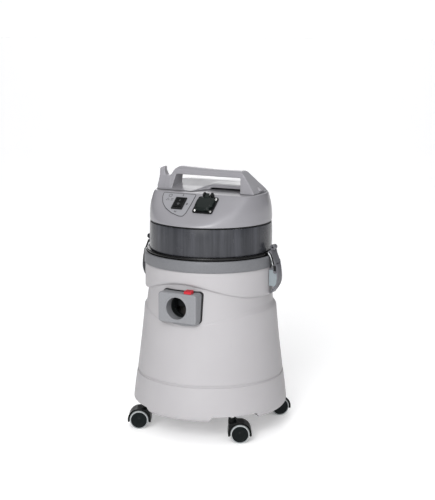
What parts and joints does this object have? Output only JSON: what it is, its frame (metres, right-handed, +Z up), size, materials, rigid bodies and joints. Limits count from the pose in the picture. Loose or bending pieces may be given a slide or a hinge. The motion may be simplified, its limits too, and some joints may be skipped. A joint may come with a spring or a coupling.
{
  "type": "wet and dry vacuum cleaner",
  "caption": "Upright drum vacuum cleaner on twin-wheel castors, with a lift-off motor head, carrying handle, tool socket, rocker switch, front hose inlet and side latches.",
  "frame": {"origin": "on the floor under the axis of the drum", "axes": "+Z up, the hose inlet and controls face -Y, the machine's right hand seen from behind it is +X"},
  "size_m": [0.3624, 0.3624, 0.6104],
  "materials": {
    "drum_plastic": "light warm grey moulded plastic",
    "collar_plastic": "mid grey moulded plastic",
    "seal_rubber": "black rubber",
    "inlet_plastic": "blue-grey moulded plastic",
    "red_plastic": "red plastic",
    "steel": "bright zinc-plated steel",
    "castor_black": "black nylon",
    "castor_wheel": "black nylon core with a grey soft tread",
    "latch_plastic": "grey moulded plastic",
    "cap_plastic": "grey moulded plastic",
    "smoked": "smoked translucent plastic",
    "black_plastic": "black plastic",
    "label_film": "printed grey film",
    "insert_plastic": "black contact carrier",
    "cast_alloy": "die-cast aluminium",
    "iron": "iron laminations with windings",
    "circuit_board": "circuit board",
    "cage_plastic": "grey plastic cage",
    "filter_paper": "pleated filter cloth"
  },
  "bodies": {
    "drum": {"tank": "drum_plastic", "tank_rim": "collar_plastic", "tank_seal": "seal_rubber", "inlet_housing": "inlet_plastic", "inlet_seal": "seal_rubber", "inlet_deflector": "inlet_plastic", "inlet_screws": "steel", "catch_spring": "steel", "castor_stems": "steel", "latch_bracket_right": "inlet_plastic", "latch_bracket_left": "inlet_plastic", "latch_pins": "steel"},
    "head": {"motor_plate": "black_plastic", "smoked_band": "smoked", "head_cap": "cap_plastic", "exhaust_grille": "cap_plastic", "cord_inlet": "black_plastic", "handle_cowl": "cap_plastic", "control_label": "label_film", "switch_housing": "black_plastic", "socket_housing": "black_plastic", "socket_insert": "insert_plastic", "socket_screws": "steel", "lid_pin": "steel", "lid_spring": "steel", "cap_screws": "steel", "fan_casing": "black_plastic", "motor_stator": "iron", "motor_frame": "cast_alloy", "motor_bearings": "steel", "motor_brushes": "black_plastic", "start_board": "circuit_board", "float_cage": "cage_plastic", "filter_cartridge": "filter_paper"},
    "rocker": {"switch_rocker": "black_plastic"},
    "lid": {"socket_lid": "black_plastic"},
    "catch": {"inlet_catch": "red_plastic"},
    "rotor": {"motor_rotor": "iron", "impeller": "cast_alloy"},
    "float": {"float_ball": "red_plastic"},
    "lever_right": {"latch_lever_right": "latch_plastic"},
    "lever_left": {"latch_lever_left": "latch_plastic"},
    "hook_right": {"latch_hook_right": "latch_plastic"},
    "hook_left": {"latch_hook_left": "latch_plastic"},
    "swivel_front_left": {"castor_front_left_hood": "castor_black", "castor_front_left_axle": "steel"},
    "wheel_front_left_a": {"castor_front_left_wheel_a": "castor_wheel"},
    "wheel_front_left_b": {"castor_front_left_wheel_b": "castor_wheel"},
    "swivel_front_right": {"castor_front_right_hood": "castor_black", "castor_front_right_axle": "steel"},
    "wheel_front_right_a": {"castor_front_right_wheel_a": "castor_wheel"},
    "wheel_front_right_b": {"castor_front_right_wheel_b": "castor_wheel"},
    "swivel_rear_right": {"castor_rear_right_hood": "castor_black", "castor_rear_right_axle": "steel"},
    "wheel_rear_right_a": {"castor_rear_right_wheel_a": "castor_wheel"},
    "wheel_rear_right_b": {"castor_rear_right_wheel_b": "castor_wheel"},
    "swivel_rear_left": {"castor_rear_left_hood": "castor_black", "castor_rear_left_axle": "steel"},
    "wheel_rear_left_a": {"castor_rear_left_wheel_a": "castor_wheel"},
    "wheel_rear_left_b": {"castor_rear_left_wheel_b": "castor_wheel"}
  },
  "joints": [
    {"name": "head_lift", "type": "slide", "parent": "drum", "child": "head", "axis": [0, 0, 1], "range_m": [0, 0.3]},
    {"name": "rocker_tilt", "type": "hinge", "parent": "head", "child": "rocker", "pos_m": [-0.036, -0.08889, 0.5334], "axis": [1, 0, 0], "range_deg": [-12, 12]},
    {"name": "lid_swing", "type": "hinge", "parent": "head", "child": "lid", "pos_m": [0.031, -0.0753, 0.55724], "axis": [-1, 0, 0], "range_deg": [0, 110], "stiffness_Nm_per_rad": 0.01, "springref_deg": -28.65},
    {"name": "catch_press", "type": "slide", "parent": "drum", "child": "catch", "axis": [0, 0, -1], "range_m": [0, 0.003], "stiffness_N_per_m": 600, "springref_m": -0.001, "deforming": ["catch_spring"]},
    {"name": "motor_spin", "type": "hinge", "parent": "head", "child": "rotor", "pos_m": [0, 0, 0.46], "axis": [0, 0, 1], "continuous": true},
    {"name": "float_rise", "type": "slide", "parent": "head", "child": "float", "axis": [0, 0, 1], "range_m": [0, 0.0637]},
    {"name": "lever_right_swing", "type": "hinge", "parent": "drum", "child": "lever_right", "pos_m": [0.1655, 0, 0.394], "axis": [0, -1, 0], "range_deg": [0, 110]},
    {"name": "hook_right_swing", "type": "hinge", "parent": "lever_right", "child": "hook_right", "pos_m": [0.1695, 0, 0.382], "axis": [0, -1, 0], "range_deg": [-127, 0]},
    {"name": "lever_left_swing", "type": "hinge", "parent": "drum", "child": "lever_left", "pos_m": [-0.1655, 0, 0.394], "axis": [0, 1, 0], "range_deg": [0, 110]},
    {"name": "hook_left_swing", "type": "hinge", "parent": "lever_left", "child": "hook_left", "pos_m": [-0.1695, 0, 0.382], "axis": [0, 1, 0], "range_deg": [-127, 0]},
    {"name": "swivel_front_left", "type": "hinge", "parent": "drum", "child": "swivel_front_left", "pos_m": [-0.111, -0.111, 0.05], "axis": [0, 0, 1], "continuous": true},
    {"name": "roll_front_left_a", "type": "hinge", "parent": "swivel_front_left", "child": "wheel_front_left_a", "pos_m": [-0.12699, -0.11812, 0.022], "axis": [0.4067, -0.9135, 0], "continuous": true},
    {"name": "roll_front_left_b", "type": "hinge", "parent": "swivel_front_left", "child": "wheel_front_left_b", "pos_m": [-0.12699, -0.11812, 0.022], "axis": [0.4067, -0.9135, 0], "continuous": true},
    {"name": "swivel_front_right", "type": "hinge", "parent": "drum", "child": "swivel_front_right", "pos_m": [0.111, -0.111, 0.05], "axis": [0, 0, 1], "continuous": true},
    {"name": "roll_front_right_a", "type": "hinge", "parent": "swivel_front_right", "child": "wheel_front_right_a", "pos_m": [0.12659, -0.10305, 0.022], "axis": [-0.454, 0.891, 0], "continuous": true},
    {"name": "roll_front_right_b", "type": "hinge", "parent": "swivel_front_right", "child": "wheel_front_right_b", "pos_m": [0.12659, -0.10305, 0.022], "axis": [-0.454, 0.891, 0], "continuous": true},
    {"name": "swivel_rear_right", "type": "hinge", "parent": "drum", "child": "swivel_rear_right", "pos_m": [0.111, 0.111, 0.05], "axis": [0, 0, 1], "continuous": true},
    {"name": "roll_rear_right_a", "type": "hinge", "parent": "swivel_rear_right", "child": "wheel_rear_right_a", "pos_m": [0.12441, 0.12225, 0.022], "axis": [-0.6428, 0.766, 0], "continuous": true},
    {"name": "roll_rear_right_b", "type": "hinge", "parent": "swivel_rear_right", "child": "wheel_rear_right_b", "pos_m": [0.12441, 0.12225, 0.022], "axis": [-0.6428, 0.766, 0], "continuous": true},
    {"name": "swivel_rear_left", "type": "hinge", "parent": "drum", "child": "swivel_rear_left", "pos_m": [-0.111, 0.111, 0.05], "axis": [0, 0, 1], "continuous": true},
    {"name": "roll_rear_left_a", "type": "hinge", "parent": "swivel_rear_left", "child": "wheel_rear_left_a", "pos_m": [-0.12745, 0.10501, 0.022], "axis": [0.342, -0.9397, 0], "continuous": true},
    {"name": "roll_rear_left_b", "type": "hinge", "parent": "swivel_rear_left", "child": "wheel_rear_left_b", "pos_m": [-0.12745, 0.10501, 0.022], "axis": [0.342, -0.9397, 0], "continuous": true}
  ],
  "couplings": [
    {"joint": "hook_right_swing", "follows": "lever_right_swing", "ratio": -1.15},
    {"joint": "hook_left_swing", "follows": "lever_left_swing", "ratio": -1.15}
  ]
}
